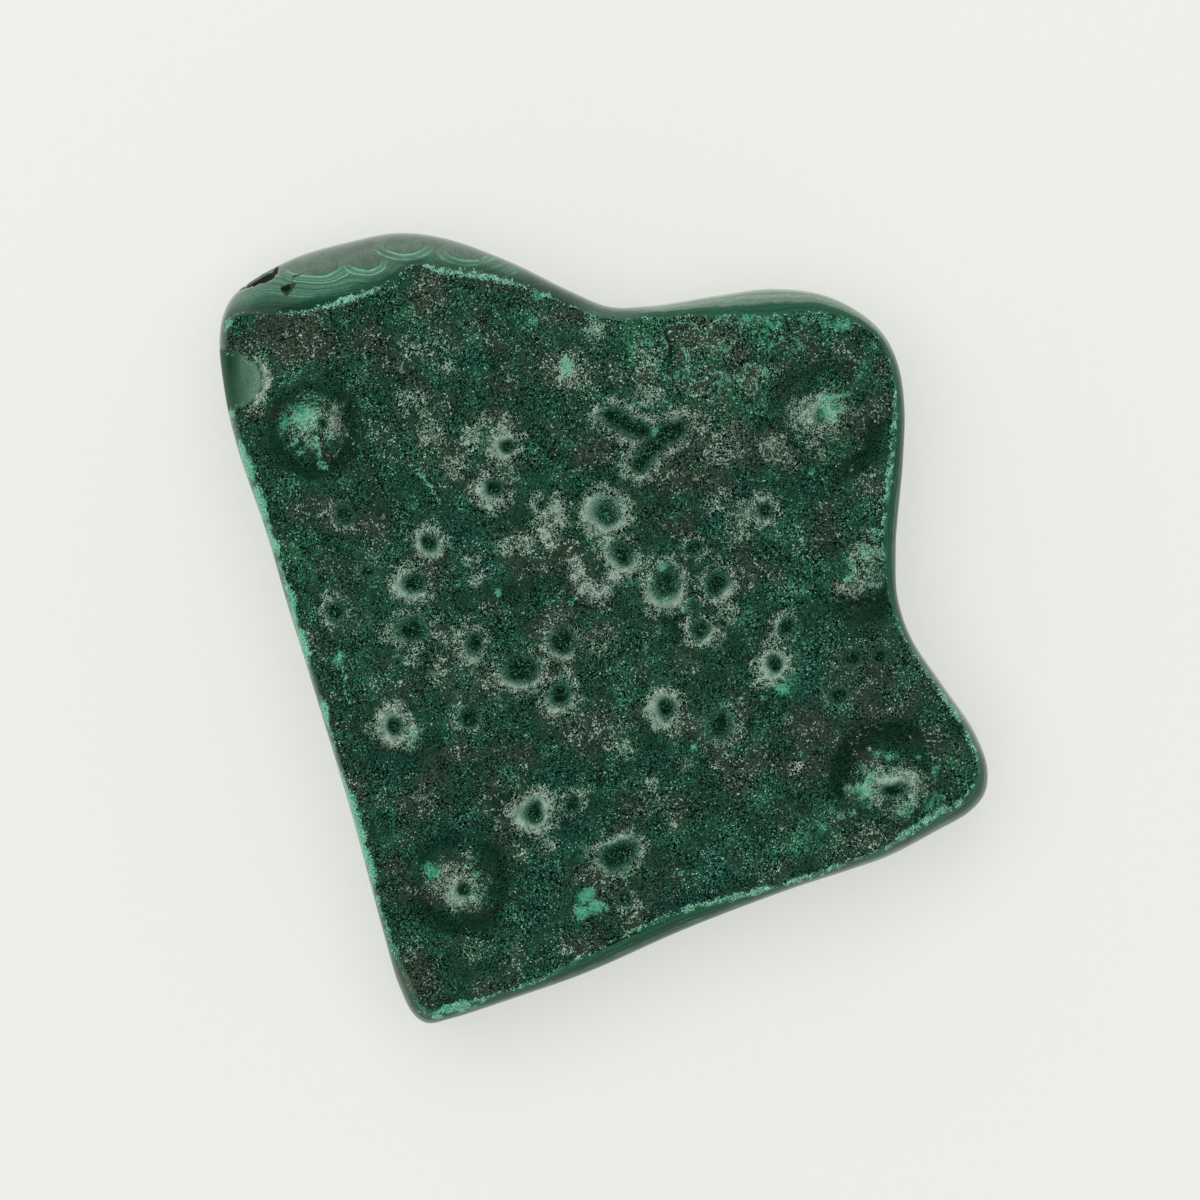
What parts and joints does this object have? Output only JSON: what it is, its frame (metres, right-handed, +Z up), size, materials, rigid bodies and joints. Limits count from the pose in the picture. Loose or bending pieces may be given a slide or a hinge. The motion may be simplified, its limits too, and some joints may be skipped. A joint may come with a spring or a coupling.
{
  "type": "malachite specimen",
  "caption": "Freeform malachite slab, polished round its sides and back, with a natural knobby growth face on top. It lies on its flat back.",
  "frame": {"origin": "centre of the plan box, on the plane of the flat back that the slab rests on", "axes": "+Z up out of the natural face, along the thickness; +Y along the longer side of the plan box, towards the wide banded rim; +X to the right of it seen from above"},
  "size_m": [0.128, 0.1317, 0.0293],
  "materials": {
    "malachite": "Deep green malachite: glossy polished rims, sides and back with fine light and dark bands, and a natural velvety face on top with pale worn knob rims and mint green specks."
  },
  "bodies": {
    "root": {"malachite": "malachite"}
  },
  "joints": []
}
